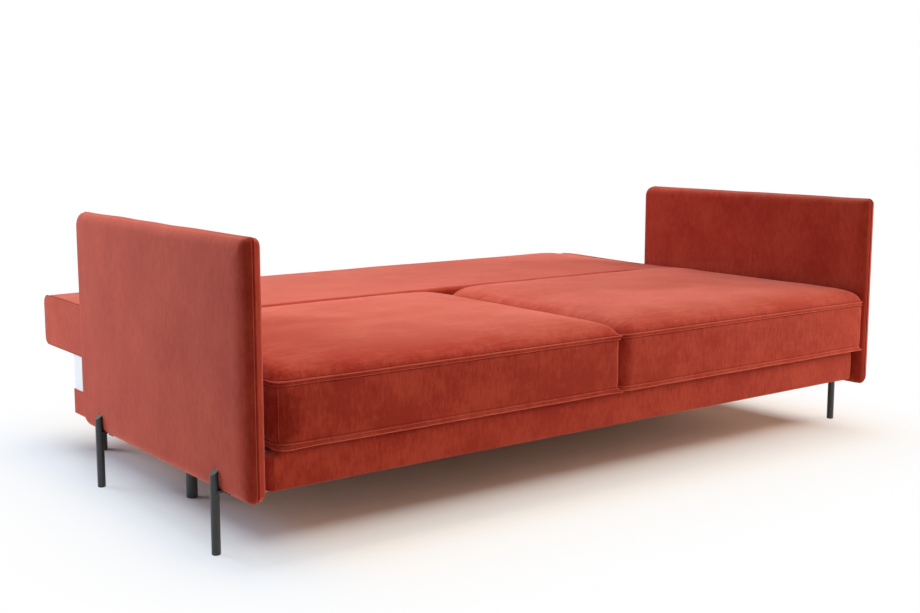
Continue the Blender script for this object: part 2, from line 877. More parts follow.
@dataclass
class SeatCushion:
    """A boxed seat cushion with a crowned top and a double ridge along each seam."""

    side: Side
    wardrobe: Wardrobe
    ends_left: tuple[float, float] = (-0.9795, -0.0020)
    ends_right: tuple[float, float] = (0.0005, 0.9840)
    front: float = -0.667
    rear: float = 0.088
    underside: float = 0.241
    top_ridge: float = 0.3850
    crown_foot: float = 0.3885
    crown: float = 0.0415
    corners_left: Corners = Corners(0.046, 0.046, 0.031, 0.007)
    corners_right: Corners = Corners(0.046, 0.046, 0.042, 0.007)
    belly_left: float = 0.036
    belly_right: float = 0.004
    corner_spread: Corners = Corners(0.5, 0.75, 0.7, 0.4)
    counts: Counts = Counts(corner=12, long=84, short=64)
    pin: tuple[float, float] = (0.043, 0.366)
    swing: tuple[float, float] = (0.049, 0.0525)
    ease: float = 0.0008
    ear_left_end: float = 0.0030
    ears_right_end: tuple[float, float] = (0.0068, 0.0014)
    seam_share_left: float = 0.46
    seam_share_right: float = 0.40
    seam_gap: float = 0.35
    notch_x: tuple[float, float] = (0.921, 0.953)
    notch_y: float = 0.0295
    notch_top: float = 0.3795
    front_rise: tuple[tuple[float, float], ...] = (
        (0, 0), (0.0012, 0.10), (0.004, 0.23), (0.009, 0.385), (0.018, 0.55), (0.034, 0.71), (0.062, 0.845),
        (0.10, 0.925), (0.16, 0.975), (0.24, 1.0))
    rear_rise: tuple[tuple[float, float], ...] = (
        (0, 0), (0.004, 0.33), (0.010, 0.60), (0.022, 0.86), (0.045, 0.975), (0.08, 1.015), (0.14, 1.01), (0.24, 1.0))
    arm_rise: tuple[tuple[float, float], ...] = (
        (0, 0), (0.004, 0.32), (0.012, 0.6), (0.028, 0.8), (0.07, 0.92), (0.14, 0.98), (0.22, 1.0))
    gap_rise: tuple[tuple[float, float], ...] = (
        (0, 0), (0.005, 0.25), (0.014, 0.48), (0.034, 0.71), (0.08, 0.88), (0.15, 0.97), (0.24, 1.0))
    crown_insets: tuple[float, ...] = (
        0.0030, 0.0042, 0.0058, 0.008, 0.011, 0.015, 0.020, 0.026, 0.033, 0.041, 0.050, 0.060, 0.071, 0.083, 0.096,
        0.11, 0.125, 0.14, 0.156, 0.172, 0.19, 0.208, 0.226, 0.245, 0.264, 0.284, 0.304, 0.324, 0.343, 0.36)
    wall_shape: tuple[tuple[float, float, str], ...] = (
        (340, 0.6, ""), (200, 0.6, ""), (90, 0.6, ""), (30, 0.6, ""), (12, 0.4, ""), (5, 0, ""), (1.2, 0.3, ""),
        (-0.9, 1.4, "lip"), (-1.1, 2.6, ""), (-0.2, 4.0, ""), (1.2, 5.6, ""), (2.2, 7.2, ""), (2.6, 8.6, ""),
        (2.3, 9.6, "low"), (3.4, 11.2, ""), (5.2, 13.0, "crease"), (4.7, 16.5, ""), (4.2, 24, ""), (4.0, 32, ""),
        (4.0, 42, ""), (4.1, 54, ""), (4.2, 68, ""), (4.2, 82, ""), (4.1, 96, ""), (4.0, 108, ""), (3.9, 118, ""),
        (4.0, 126, ""), (4.3, 130.5, ""), (4.8, 132.6, "fold"), (2.0, 134.9, "under"), (1.8, 136.2, ""),
        (2.4, 137.6, ""), (2.6, 139.2, ""), (1.8, 140.8, ""), (0.4, 142.2, ""), (0.0, 143.4, "top"), (1.0, 144.8, ""),
        (2.6, 146.2, "pinch"))

    @property
    def ends(self) -> tuple[float, float]:
        """Where the cushion starts and stops along the sofa."""
        return self.side.pick(self.ends_left, self.ends_right)

    @property
    def half(self) -> tuple[float, float]:
        """Half the cushion's length and half its depth."""
        return (self.ends[1] - self.ends[0]) / 2, (self.rear - self.front) / 2

    @property
    def middle(self) -> Vector:
        """Middle of the cushion in plan."""
        return Vector((sum(self.ends) / 2, (self.front + self.rear) / 2, 0.0))

    def wall(self) -> list[tuple[float, float, str]]:
        """Insets and heights from the middle of the underside to the foot of the crown.

        Returns:
            Inset, height over the underside and the seam's name, where there is one.
        """
        return [(inset * MM, self.underside + height * MM, name) for inset, height, name in self.wall_shape]

    def rise(self, points: np.ndarray, inset: float) -> np.ndarray:
        """Height of the crown over its foot, as a share of the whole crown.

        Args:
            points: Points in plan, one row each.
            inset: Their distance from the seam.

        Returns:
            One share for each point.
        """
        half_length, half_depth = self.half
        arm = self.side.value
        distances = (half_depth + points[:, 1], half_depth - points[:, 1],
                     half_length - arm * points[:, 0], half_length + arm * points[:, 0])
        total, weights = 0.0, 0.0
        for distance, table in zip(distances, (self.front_rise, self.rear_rise, self.arm_rise, self.gap_rise)):
            weight = 1.0 / (np.maximum(distance, 0.0) + 0.006) ** 2
            total += weight * np.interp(inset - self.crown_insets[0], *zip(*table))
            weights += weight
        return total / weights

    def outline(self, inset: float, belly: float = 0.0) -> np.ndarray:
        """Outline of the cushion at an inset.

        Args:
            inset: Distance inside the seams.
            belly: What the left front corner's radius gains.

        Returns:
            Points in plan, one row each.
        """
        half_length, half_depth = self.half
        corners = self.side.pick(self.corners_left, self.corners_right)
        corners = corners.spread(max(inset, 0.0), self.corner_spread, (half_depth - inset) * 0.97)
        corners = replace(corners, low_low=corners.low_low + belly)
        return rounded_outline(half_length - inset, half_depth - inset, corners, self.counts)

    def rings(self) -> tuple[np.ndarray, dict[str, int]]:
        """Rings of points of the whole cushion, with its ears, puckers and soft waves.

        Returns:
            The rings, and the row of each seam.
        """
        rings, seams = [], {}
        belly = self.side.pick(self.belly_left, self.belly_right)
        for inset, height, name in self.wall():
            if name:
                seams[name] = len(rings)
            rise = height - self.underside
            outline = self.outline(inset, belly * smooth(rise, 0.010, 0.040) * (1 - smooth(rise, 0.106, 0.134)))
            rings.append(level(outline, height))
        for inset in self.crown_insets:
            outline = self.outline(inset)
            rings.append(level(outline, self.crown_foot + self.crown * self.rise(outline, inset)))
        rings = np.array(rings)
        self.loosen(rings.reshape(-1, 3))
        return rings, seams

    def loosen(self, points: np.ndarray) -> None:
        """Moves points out at the ears, and in and out where the cover is slack.

        Args:
            points: The points, which are changed.
        """
        half_length, half_depth = self.half
        edge_x, edge_y = half_length - np.abs(points[:, 0]), half_depth - np.abs(points[:, 1])
        outward = points[:, :2] / np.maximum(np.linalg.norm(points[:, :2], axis=1, keepdims=True), 1e-6)
        self.pull_ears(points, edge_x, edge_y)
        from_front, from_rear = half_depth + points[:, 1], half_depth - points[:, 1]
        self.fill_right_front(points, from_front)
        if self.side is Side.LEFT:
            self.tuck_left_end(points, from_front)
        else:
            self.fill_right_rear(points, from_rear)
        self.slacken(points, edge_x, edge_y, outward)

    def pull_ears(self, points: np.ndarray, edge_x: np.ndarray, edge_y: np.ndarray) -> None:
        """Pulls the corners of the seams out into ears.

        Args:
            points: The points, which are changed.
            edge_x: Their distances from the ends.
            edge_y: Their distances from the front or the rear.
        """
        corner = np.exp(-((edge_x / 0.016) ** 2 + (edge_y / 0.016) ** 2))
        welts = np.exp(-(((points[:, 2] - self.top_ridge + 0.003) / 0.006) ** 2))
        welts += 1.2 * np.exp(-(((points[:, 2] - self.underside - 0.004) / 0.007) ** 2))
        ears = np.where(points[:, 0] < 0, self.ear_left_end, self.side.pick(*self.ears_right_end))
        points[:, :2] += np.sign(points[:, :2]) * (corner * ears * welts)[:, None]

    def fill_right_front(self, points: np.ndarray, from_front: np.ndarray) -> None:
        """Fills out the front corner at the cushion's right-hand end.

        Args:
            points: The points, which are changed.
            from_front: Their distances from the front.
        """
        half_length, half_depth = self.half
        near = (1 - smooth(half_length - points[:, 0], 0.0, 0.12)) * (1 - smooth(from_front, 0.004, 0.045))
        upright = smooth(points[:, 2], self.underside + 0.008, self.underside + 0.018)
        upright = upright * (1 - smooth(points[:, 2], self.top_ridge - 0.012, self.top_ridge - 0.004))
        points[:, 0] += near * (self.side.pick(0.0012, 0.0020) + 0.0044 * upright)
        forward = smooth(-points[:, 1], half_depth - 0.02, half_depth - 0.008)
        points[:, 1] -= near * (0.0015 + 0.0016 * upright * forward)

    def tuck_left_end(self, points: np.ndarray, from_front: np.ndarray) -> None:
        """Draws the left cushion in beside the arm and lets its front corner droop.

        Args:
            points: The points, which are changed.
            from_front: Their distances from the front.
        """
        low = self.underside
        from_end = self.half[0] + points[:, 0]
        points[:, 0] += 0.0115 * (1 - smooth(from_end, 0.0, 0.2)) * (1 - smooth(from_front, 0.07, 0.30))
        points[:, 1] += 0.0035 * (1 - smooth(from_end, 0.09, 0.19)) * (1 - smooth(from_front, 0.0, 0.2))
        tucked = (1 - smooth(points[:, 2], low + 0.004, low + 0.03)) * (1 - smooth(from_front, 0.05, 0.2))
        points[:, 0] += 0.0060 * tucked * (1 - smooth(from_end, 0.0, 0.1))
        droop = np.exp(-(((from_end - 0.03) / 0.045) ** 2 + (from_front / 0.045) ** 2))
        points[:, 2] -= 0.0022 * droop * (1 - smooth(points[:, 2], low + 0.002, low + 0.010))

    def fill_right_rear(self, points: np.ndarray, from_rear: np.ndarray) -> None:
        """Fills out the right cushion towards its rear corner beside the arm.

        Args:
            points: The points, which are changed.
            from_rear: Their distances from the rear.
        """
        from_end = self.half[0] - points[:, 0]
        corner = smooth(from_end, 0.0, 0.02) * (1 - smooth(from_end, 0.06, 0.3)) * (1 - smooth(from_rear, 0.05, 0.2))
        fuller = 0.0012 * corner + 0.0016 * (1 - smooth(from_rear, 0.1, 0.5)) * smooth(from_end, 0.1, 0.5)
        points[:, 2] += fuller * smooth(points[:, 2], self.crown_foot, self.crown_foot + 0.03)

    def slacken(self, points: np.ndarray, edge_x: np.ndarray, edge_y: np.ndarray, outward: np.ndarray) -> None:
        """Gives the crown, the pinch, the boxing and the lip their waves.

        Args:
            points: The points, which are changed.
            edge_x: Their distances from the ends.
            edge_y: Their distances from the front or the rear.
            outward: Unit directions in plan, away from the middle.
        """
        seed = self.side.pick(3.7, 11.3)
        top, low, foot = self.top_ridge, self.underside, self.crown_foot
        crowned = smooth(points[:, 2], foot + 0.002, foot + 0.02)
        waves = 0.0016 * ripple(points, (4.0, 5.0, 4.0), seed) + 0.0006 * ripple(points, (11.0, 14.0, 11.0), seed + 5)
        points[:, 2] += crowned * waves
        along = np.where(edge_y < edge_x, points[:, 0], points[:, 1])
        track = np.column_stack([along, along * 0, along * 0])
        near_top = np.exp(-(((points[:, 2] - foot - 0.009) / 0.009) ** 2))
        points[:, 2] += near_top * 0.0007 * ripple(track, (42.0, 1.0, 1.0), seed + 9)
        wall = smooth(points[:, 2], low + 0.014, low + 0.03) * (1.0 - smooth(points[:, 2], top - 0.03, top - 0.012))
        slack = 0.0010 * ripple(points, (6.0, 6.0, 9.0), seed + 2)
        slack += 0.0004 * ripple(points, (26.0, 26.0, 7.0), seed + 4)
        pull = 0.0024 * smooth(np.minimum(np.maximum(edge_x, edge_y), 0.3), 0.06, 0.25)
        sag = 4.0 * (points[:, 2] - low) * (top - points[:, 2]) / (top - low) ** 2
        points[:, :2] -= outward * (wall * (slack + pull * sag))[:, None]
        lip = 1.0 - smooth(points[:, 2], low + 0.006, low + 0.016)
        points[:, 2] += lip * 0.0009 * ripple(track, (7.0, 1.0, 1.0), seed + 12)

    def seam_cords(self, rings: np.ndarray, seams: dict[str, int]) -> list[bpy.types.Object]:
        """Makes the ridges of the sewn seams as thin cords.

        Args:
            rings: The cushion's rings.
            seams: Row of each seam.

        Returns:
            The cords round the cushion and the upright ones at its front corners, without the lip's.
        """
        cords = [tube(f"ridge_{name}", rings[seams[name]], radius, 6, closed=True)
                 for name, radius in (("low", 0.0010), ("under", 0.0011), ("top", 0.0012))]
        right_start = self.left_corner + self.counts.corner + self.counts.long
        cords.append(tube("upright", self.upright(rings, seams, right_start + self.counts.corner / 2), 0.0012, 6))
        cords.append(tube("upright", self.upright(rings, seams, self.left_seam), 0.0007, 6))
        return cords

    @property
    def left_corner(self) -> int:
        """First column of the left front corner, after two other corners and two sides."""
        return 2 * self.counts.corner + self.counts.long + self.counts.short

    @property
    def left_seam(self) -> float:
        """Column of the upright seam at the left front corner."""
        return self.left_corner + self.side.pick(self.seam_share_left, self.seam_share_right) * self.counts.corner

    def upright(self, rings: np.ndarray, seams: dict[str, int], column: float) -> np.ndarray:
        """Path up the boxing between the seams.

        Args:
            rings: The cushion's rings.
            seams: Row of each seam.
            column: Where along the rings, with a part of a column for a place between two.

        Returns:
            Points from the low seam to the top one.
        """
        first = int(column)
        share = column - first
        rows = slice(seams["low"] + 1, seams["under"])
        return rings[rows, first] * (1 - share) + rings[rows, first + 1] * share

    def creases(self, rings: np.ndarray, seams: dict[str, int]) -> bpy.types.Object:
        """Makes the dark threads in the folds beside the ridges and beside the upright seam.

        Args:
            rings: The cushion's rings.
            seams: Row of each seam.

        Returns:
            The threads.
        """
        threads = [tube("thread", rings[seams[name]], radius, 6, closed=True)
                   for name, radius in (("crease", 0.0006), ("fold", 0.0011), ("pinch", 0.0009))]
        threads.append(tube("thread", self.upright(rings, seams, self.left_seam - self.seam_gap), 0.0008, 6))
        return joined(f"seat_cushion_creases_{self.side.word}", threads)

    def clear_of_back(self, rings: np.ndarray) -> None:
        """Draws the rear top edge in, so that it passes the back, flat or raised, while the seat is lifted.

        Args:
            rings: The cushion's rings, which are changed.
        """
        across = rings[:, :, 1] + self.middle.y - self.pin[0]
        above = rings[:, :, 2] + self.middle.z - self.pin[1]
        away = np.maximum(np.hypot(across, above), 1e-6)
        reach = np.where(above > 0.0, np.where(above > across, (across + above) / math.sqrt(2.0), away), 0.0)
        lifted = smooth((above - across) / math.sqrt(2.0), 0.012, 0.026)
        limit = self.swing[0] + (self.swing[1] - self.swing[0]) * lifted
        over = self.ease * np.log1p(np.exp(np.minimum((reach - limit) / self.ease, 50.0)))
        rings[:, :, 1] -= over * across / away
        rings[:, :, 2] -= over * above / away

    def build(self) -> bpy.types.Object:
        """Makes and dresses the cushion and its seams.

        Returns:
            The cushion.
        """
        rings, seams = self.rings()
        sewn = np.repeat((np.arange(len(rings)) <= len(self.wall()) + 2)[:, None], rings.shape[1], axis=1)
        Filling().fill(f"seat_cushion_{self.side.word}", rings, sewn, 2)
        self.clear_of_back(rings)
        cover = ring_mesh(f"seat_cushion_velvet_{self.side.word}", rings, rings.shape[1] - self.counts.short // 2)
        piping = joined(f"seat_cushion_seams_{self.side.word}", self.seam_cords(rings, seams))
        lip = tube(f"seat_cushion_lip_{self.side.word}", rings[seams["lip"]], 0.0013, 6, closed=True)
        valley = self.creases(rings, seams)
        for part in (cover, piping, lip, valley):
            part.data.transform(Matrix.Translation(self.middle))
        soften_flats(cover, 80.0)
        inner, outer = self.side.span(self.notch_x)
        low, rear = self.underside - 0.02, self.rear + 0.02
        for part in (cover, piping, lip, valley):
            cut(part, [block((inner, self.notch_y, low), (outer, rear, self.notch_top))])
        finishes = (CUSHION_VELVET, SEAM_VELVET, LIP_VELVET, VALLEY_VELVET)
        for part, finish in zip((cover, piping, lip, valley), finishes):
            self.wardrobe.fit(part, finish, Body.SEAT, "velvet")
        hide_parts(f"seat_cushion_{self.side.word}")
        return cover


@dataclass
class LyingBack:
    """The back, lying flat behind the cushions, and the panel that closes its underside."""

    wardrobe: Wardrobe
    half_length: float = 0.979
    front: float = 0.0975
    rear: float = 0.665
    underside: float = 0.284
    top: float = 0.4235
    corners: Corners = Corners(0.028, 0.011, 0.006, 0.022)
    plan_round: float = 0.085
    rear_lift: float = 0.0048
    counts: Counts = Counts(corner=8, long=50, short=12)
    step: float = 0.013
    recess_x: float = 0.935
    recess_y: tuple[float, float] = (0.1097, 0.6353)
    recess_top: float = 0.3229
    notch_x: tuple[float, float] = (0.921, 0.953)
    notch_rear: float = 0.171
    notch_top: float = 0.401
    channel_x: tuple[float, float] = (0.9343, 0.9407)
    channel_y: tuple[float, float] = (0.134, 0.2607)
    channel_top: float = 0.386
    end_shape: tuple[tuple[float, float], ...] = (
        (0.5, 62), (0.3, 50), (0, 38), (0, 26), (0.4, 16), (1.2, 9), (2.2, 5), (2.4, 2.8), (1.4, 0.8), (2.6, -0.2),
        (4.2, 0.8), (6.2, 1.6), (9.2, 1), (15, 0))
    seam_row: int = 9
    panel_shape: tuple[tuple[float, float], ...] = (
        (255, 0.3), (140, 0.2), (40, 0.0), (14, 0.3), (12, 0.9), (10, 0.3), (3, 0.1), (0.8, 0.5), (0, 1.6), (0, 3.4),
        (0.6, 4.8), (30, 4.8), (255, 4.8))

    def stations(self) -> list[tuple[float, float]]:
        """Places along the sofa and how far the outline is drawn in at each.

        Returns:
            Pairs of distance from the middle and inset.
        """
        cap = [(self.half_length - short * MM, inset * MM) for short, inset in self.end_shape]
        inner = cap[-1][0]
        count = int(2 * inner / self.step)
        middle = [(x, 0.0) for x in np.linspace(-inner, inner, count + 1)[1:-1]]
        return [(-x, inset) for x, inset in cap] + middle + [(x, inset) for x, inset in reversed(cap)]

    def pad(self) -> tuple[bpy.types.Object, list[bpy.types.Object]]:
        """Makes the upholstered pad with the recess for its frame.

        Returns:
            The pad and the seams at its two ends.
        """
        half_depth, half_height = (self.rear - self.front) / 2, (self.top - self.underside) / 2
        rings = []
        for x, inset in self.stations():
            corners = self.corners.grown(-0.5 * inset, (half_height - inset) * 0.97, 0.002)
            outline = rounded_outline(half_depth - inset, half_height - inset, corners, self.counts)
            rings.append(upended(outline, x))
        rings = np.array(rings)
        points = rings.reshape(-1, 3)
        on_top = smooth(points[:, 2], half_height - 0.012, half_height - 0.002)
        points[:, 2] += on_top * (0.0012 * ripple(points, (3.5, 5.0, 1.0), 21.0) - 0.0006)
        drop = smooth(points[:, 0], self.half_length - 0.30, self.half_length) * (1 - smooth(points[:, 1], -0.24, 0.24))
        lift = self.rear_lift * (0.15 + 0.85 * smooth(points[:, 0], -self.half_length, 0.45 - self.half_length))
        lift -= 1.2 * self.rear_lift * smooth(points[:, 0], self.half_length - 0.13, self.half_length)
        points[:, 2] += on_top * (lift * smooth(points[:, 1], -half_depth + 0.03, half_depth - 0.15) - 0.0065 * drop)
        self.round_in_plan(points, half_depth)
        inside = smooth(self.half_length - np.abs(points[:, 0]), 0.004, 0.05)
        rear_face = smooth(np.abs(points[:, 1]), half_depth - 0.004, half_depth - 0.001)
        points[:, 1] += inside * rear_face * 0.0008 * ripple(points, (7.0, 1.0, 9.0), 5.0)
        end_face = 1.0 - smooth(self.half_length - np.abs(points[:, 0]), 0.0006, 0.003)
        points[:, 0] += end_face * 0.0009 * ripple(points, (1.0, 8.0, 14.0), 6.0)
        on_face = (points[:, 2] > half_height - 0.004) & (np.abs(points[:, 0]) < self.half_length - 0.03)
        Filling(swell=0.002).fill("back_pad", rings, ~on_face.reshape(rings.shape[:2]), 2)
        pad = ring_mesh("back_pad_velvet", rings)
        self.place(pad)
        ends = (self.seam_row, len(rings) - 1 - self.seam_row)
        seams = [tube("ridge", rings[row], 0.0009, 6, closed=True) for row in ends]
        low = self.underside - 0.02
        cutters = [block((-self.recess_x, self.recess_y[0], low), (self.recess_x, self.recess_y[1], self.recess_top))]
        for side in Side:
            inner, outer = side.span(self.notch_x)
            cutters.append(block((inner, self.front - 0.02, low), (outer, self.notch_rear, self.notch_top)))
            inner, outer = side.span(self.channel_x)
            cutters.append(block((inner, self.channel_y[0], low), (outer, self.channel_y[1], self.channel_top)))
        soften_flats(pad, 80.0)
        cut(pad, cutters)
        return pad, seams

    def round_in_plan(self, points: np.ndarray, half_depth: float) -> None:
        """Rounds the rear corner at the right-hand end, seen from above.

        Args:
            points: The points, which are changed.
            half_depth: Half the pad's depth.
        """
        beyond = points[:, :2] - np.array([self.half_length - self.plan_round, half_depth - self.plan_round])
        corner = (beyond > 0).all(axis=1)
        reach = beyond[corner].max(axis=1) / np.linalg.norm(beyond[corner], axis=1)
        points[corner, :2] -= beyond[corner] * (1 - reach)[:, None]

    def place(self, part: bpy.types.Object) -> None:
        """Moves a part from the middle of its section to its place."""
        part.data.transform(Matrix.Translation((0.0, (self.front + self.rear) / 2, (self.top + self.underside) / 2)))

    def build(self) -> bpy.types.Object:
        """Makes and dresses the pad, its end seams and its closing panel.

        Returns:
            The pad.
        """
        pad, seams = self.pad()
        self.wardrobe.fit(pad, BACK_VELVET, Body.BACK, "velvet")
        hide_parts("back_pad")
        for seam, side, finish in zip(seams, Side, (VALLEY_VELVET, SEAM_VELVET)):
            seam.name = f"back_seam_{side.word}"
            self.place(seam)
            self.wardrobe.fit(seam, finish, Body.BACK, "velvet")
        panel = self.panel()
        self.wardrobe.fit(panel, BACK_VELVET, Body.BACK, "rear_cloth")
        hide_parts("back_panel")
        return pad

    def panel(self) -> bpy.types.Object:
        """Makes the cloth-covered panel with its stitched edge.

        Returns:
            The panel.
        """
        low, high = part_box("back_panel")
        half_length, half_depth = (high[0] - low[0]) / 2, (high[1] - low[1]) / 2
        counts = Counts(corner=4, long=120, short=40)
        rings = []
        for inset, height in self.panel_shape:
            inset *= MM
            corners = Corners.even(0.004).grown(inset * 0.5, (half_depth - inset) * 0.9)
            outline = rounded_outline(half_length - inset, half_depth - inset, corners, counts)
            rings.append(level(outline, low[2] + height * MM))
        panel = ring_mesh("back_panel_cloth", np.array(rings))
        panel.data.transform(Matrix.Translation(((low[0] + high[0]) / 2, (low[1] + high[1]) / 2, 0.0)))
        soften_flats(panel, 60.0)
        return panel


@dataclass
class Arm:
    """A padded panel arm: two soft faces that meet in a corded seam round its edge."""

    side: Side
    wardrobe: Wardrobe
    inner: float = 0.987
    thickness: float = 0.050
    front: float = -0.665
    depth: float = 0.909
    underside: float = 0.135
    height: float = 0.551
    corners: Corners = Corners(0.027, 0.013, 0.020, 0.030)
    edge_roll: float = 0.023
    rear_roll: float = 0.017
    front_roll: float = 0.050
    bulge: float = 0.002
    seam_half: float = 0.0062
    counts: Counts = Counts(corner=10, long=76, short=48)
    board_x: tuple[float, float] = (1.0027, 1.0213)
    board_y: tuple[float, float] = (-0.6513, 0.2303)
    leg_x: float = 1.043
    leg_radius: float = 0.0103
    leg_tops: tuple[float, float] = (0.1757, 0.1885)
    face_insets: tuple[float, ...] = (
        0.0022, 0.0032, 0.0046, 0.0064, 0.0086, 0.0112, 0.0142, 0.0176, 0.0214, 0.0256, 0.0302, 0.0352, 0.0410, 0.048,
        0.057, 0.068, 0.080, 0.092, 0.105, 0.118, 0.132, 0.146, 0.160, 0.175, 0.190, 0.205, 0.220, 0.235, 0.250, 0.266)
    seam_shape: tuple[tuple[float, float], ...] = (
        (0.0012, -0.0062), (0.0006, -0.0051), (0.0002, -0.0041), (0.0001, -0.0030), (0.0002, -0.0020),
        (0.0010, -0.0010), (0.0026, 0.0), (0.0024, 0.0009), (0.0008, 0.0020), (0.0, 0.0031), (0.0, 0.0041),
        (0.0004, 0.0051), (0.0012, 0.0062))
    sewn_rows: int = 9

    @property
    def middle(self) -> tuple[float, float, float]:
        """Middle of the pad, on the right-hand side of the sofa."""
        return (self.inner + self.thickness / 2, self.front + self.depth / 2, self.underside + self.height / 2)

    def outline(self, inset: float) -> np.ndarray:
        """Outline of the pad at an inset from its seam, along Y and Z."""
        half_depth, half_height = self.depth / 2 - inset, self.height / 2 - inset
        growth = -0.25 * inset if inset < 0.05 else 0.5 * (inset - 0.05) - 0.0125
        corners = self.corners.grown(growth, half_height * 0.97, 0.006)
        return rounded_outline(half_depth, half_height, corners, self.counts)

    def face(self, inset: float, sign: int) -> np.ndarray:
        """Points of one face at an inset from the seam.

        Args:
            inset: Distance from the pad's edge.
            sign: 1 for the outer face, -1 for the inner one.

        Returns:
            Points, one row each, round the middle of the pad.
        """
        outline = self.outline(inset)
        from_front = self.depth / 2 + outline[:, 0]
        from_rear = self.depth / 2 - outline[:, 0]
        from_edge = self.height / 2 - np.abs(outline[:, 1])
        front_roll = self.front_roll if sign == self.side.pick(1, -1) else self.edge_roll
        weights = [1.0 / (np.maximum(d, 0.0) + 0.004) ** 2 for d in (from_front, from_rear, from_edge)]
        rolls = (front_roll, self.rear_roll, self.edge_roll)
        start = self.seam_shape[-1][0]
        lift = 0.0
        for weight, roll in zip(weights, rolls):
            reach = min((inset - start) / roll, 1.0)
            lift = lift + weight / sum(weights) * math.sqrt(1.0 - (1.0 - reach) ** 2)
        bulge = self.bulge * smooth(inset, 0.02, 0.16) if sign > 0 else 0.0
        x = self.seam_half + (self.thickness / 2 - self.seam_half) * lift + bulge
        return np.column_stack([sign * x, outline])

    def rings(self) -> tuple[np.ndarray, int]:
        """Rings of points of the pad, from its inner face to its outer face.

        Returns:
            The rings, and the row of the ridge beside the seam.
        """
        rows = [self.face(inset, -1) for inset in reversed(self.face_insets)]
        rows += [upended(self.outline(inset), offset) for inset, offset in self.seam_shape]
        last = len(rows)
        rows += [self.face(inset, 1) for inset in self.face_insets]
        rings = np.array(rows)
        points = rings.reshape(-1, 3)
        seed = 31.0 + self.side.value * 4
        near_top = smooth(points[:, 2], self.height / 2 - 0.05, self.height / 2 - 0.01)
        along = points * np.array([0.0, 1.0, 0.0])
        points[:, 2] += near_top * (0.0014 * ripple(along, (1.0, 7.0, 1.0), seed) - 0.0004)
        facing = smooth(np.abs(points[:, 0]), 0.018, 0.025)
        waves = 0.0010 * ripple(points, (3.0, 5.0, 4.0), seed + 2) + 0.0004 * ripple(points, (9.0, 22.0, 7.0), seed + 3)
        points[:, 0] += np.sign(points[:, 0]) * facing * waves
        sewn = np.ones(rings.shape[:2], bool)
        sewn[last + self.sewn_rows:] = False
        Filling(swell=0.002).fill(f"arm_pad_{self.side.word}", rings, sewn, 0)
        points += np.array(self.middle)
        return rings, last - 4

    def build(self) -> bpy.types.Object:
        """Makes and dresses the arm's pad and its seam.

        Returns:
            The pad.
        """
        rings, ridge = self.rings()
        pad = ring_mesh(f"arm_pad_velvet_{self.side.word}", rings, rings.shape[1] - self.counts.short // 2)
        seam = tube(f"arm_seam_{self.side.word}", rings[ridge], 0.0009, 6, closed=True)
        slot = block((self.board_x[0], self.board_y[0], self.underside - 0.02),
                     (self.board_x[1], self.board_y[1], self.underside + 0.3))
        hollows = [self.leg_hollow(word) for word in ("front", "rear")]
        soften_flats(pad, 80.0)
        if self.side is Side.LEFT:
            for part in (pad, slot, seam):
                part.data.transform(Matrix.Diagonal((-1.0, 1.0, 1.0, 1.0)))
                part.data.flip_normals()
        cut(pad, [slot, *hollows])
        for part, finish in ((pad, ARM_VELVET), (seam, SEAM_VELVET)):
            self.wardrobe.fit(part, finish, Body.BASE, "velvet")
        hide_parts(f"arm_pad_{self.side.word}")
        return pad

    def leg_hollow(self, word: str) -> bpy.types.Object:
        """Makes the cutter for the hollow that a leg bar stands in.

        Args:
            word: front or rear.

        Returns:
            The cutter.
        """
        low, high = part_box(f"arm_leg_{word}_{self.side.word}")
        angles = np.linspace(0.0, 2 * math.pi, 24, endpoint=False)
        circle = np.column_stack([self.side.value * self.leg_x + self.leg_radius * np.cos(angles),
                                  (low[1] + high[1]) / 2 + self.leg_radius * np.sin(angles)])
        outward = (1.0 + self.side.value * np.cos(angles)) / 2
        mitred = self.leg_tops[1] + (self.leg_tops[0] - self.leg_tops[1]) * outward
        return ring_mesh("cutter", np.array([level(circle, self.underside - 0.03), level(circle, mitred)]))


